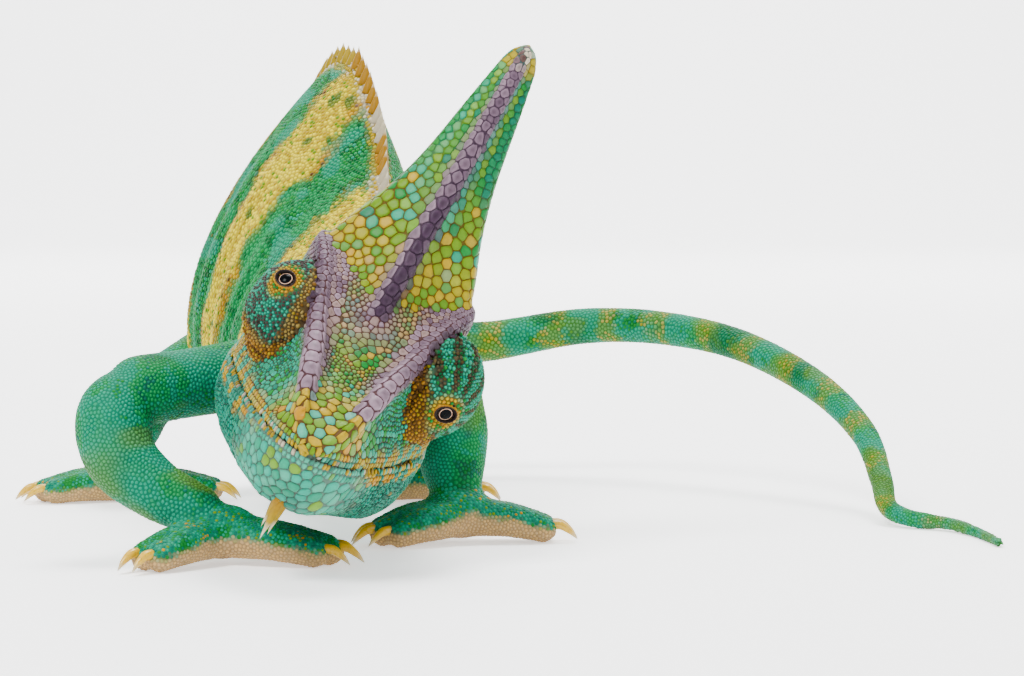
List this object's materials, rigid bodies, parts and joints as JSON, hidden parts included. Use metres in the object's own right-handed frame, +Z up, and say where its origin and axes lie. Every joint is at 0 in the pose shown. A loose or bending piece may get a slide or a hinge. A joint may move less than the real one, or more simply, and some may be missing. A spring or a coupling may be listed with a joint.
{
  "type": "veiled chameleon",
  "caption": "Male veiled chameleon standing low with its head tilted, a tall casque, swivelling eye turrets and a tail curved round beside it; a still, life-size animal model.",
  "frame": {"origin": "on the floor under the middle of the animal's bounding box", "axes": "+Z up, -Y the way the animal faces, +X to the animal's left"},
  "size_m": [0.1772, 0.1848, 0.0872],
  "materials": {
    "body_skin": "small rounded scales, satin, turquoise green with yellow bands",
    "casque_skin": "flat polygonal scales, satin, green and turquoise with yellow and mauve",
    "eye_skin": "fine granular scales in rings round the eye",
    "eyeball": "wet and glossy, black with a thin cream ring",
    "claw": "smooth horn, amber with a pale tip"
  },
  "bodies": {
    "root": {"casque": "casque_skin", "eye_turret_left": "eye_skin", "eye_turret_right": "eye_skin", "eyeball_left": "eyeball", "eyeball_right": "eyeball", "head": "casque_skin", "left_arm_foot": "body_skin", "left_arm_foot_inner_toes": "body_skin", "left_arm_foot_inner_toes_claw_1": "claw", "left_arm_foot_inner_toes_claw_2": "claw", "left_arm_foot_inner_toes_claw_3": "claw", "left_arm_foot_outer_toes": "body_skin", "left_arm_foot_outer_toes_claw_1": "claw", "left_arm_foot_outer_toes_claw_2": "claw", "left_arm_lower": "body_skin", "left_arm_upper": "body_skin", "left_leg_foot": "body_skin", "left_leg_foot_inner_toes": "body_skin", "left_leg_foot_inner_toes_claw_1": "claw", "left_leg_foot_inner_toes_claw_2": "claw", "left_leg_foot_outer_toes": "body_skin", "left_leg_foot_outer_toes_claw_1": "claw", "left_leg_foot_outer_toes_claw_2": "claw", "left_leg_foot_outer_toes_claw_3": "claw", "left_leg_lower": "body_skin", "left_leg_upper": "body_skin", "lower_jaw": "body_skin", "neck": "body_skin", "right_arm_foot": "body_skin", "right_arm_foot_inner_toes": "body_skin", "right_arm_foot_inner_toes_claw_1": "claw", "right_arm_foot_inner_toes_claw_2": "claw", "right_arm_foot_inner_toes_claw_3": "claw", "right_arm_foot_outer_toes": "body_skin", "right_arm_foot_outer_toes_claw_1": "claw", "right_arm_foot_outer_toes_claw_2": "claw", "right_arm_lower": "body_skin", "right_arm_upper": "body_skin", "right_leg_foot": "body_skin", "right_leg_foot_inner_toes": "body_skin", "right_leg_foot_inner_toes_claw_1": "claw", "right_leg_foot_inner_toes_claw_2": "claw", "right_leg_foot_outer_toes": "body_skin", "right_leg_foot_outer_toes_claw_1": "claw", "right_leg_foot_outer_toes_claw_2": "claw", "right_leg_foot_outer_toes_claw_3": "claw", "right_leg_lower": "body_skin", "right_leg_upper": "body_skin", "tail_1": "body_skin", "tail_2": "body_skin", "tail_3": "body_skin", "tail_4": "body_skin", "tail_5": "body_skin", "trunk": "body_skin"}
  },
  "joints": []
}
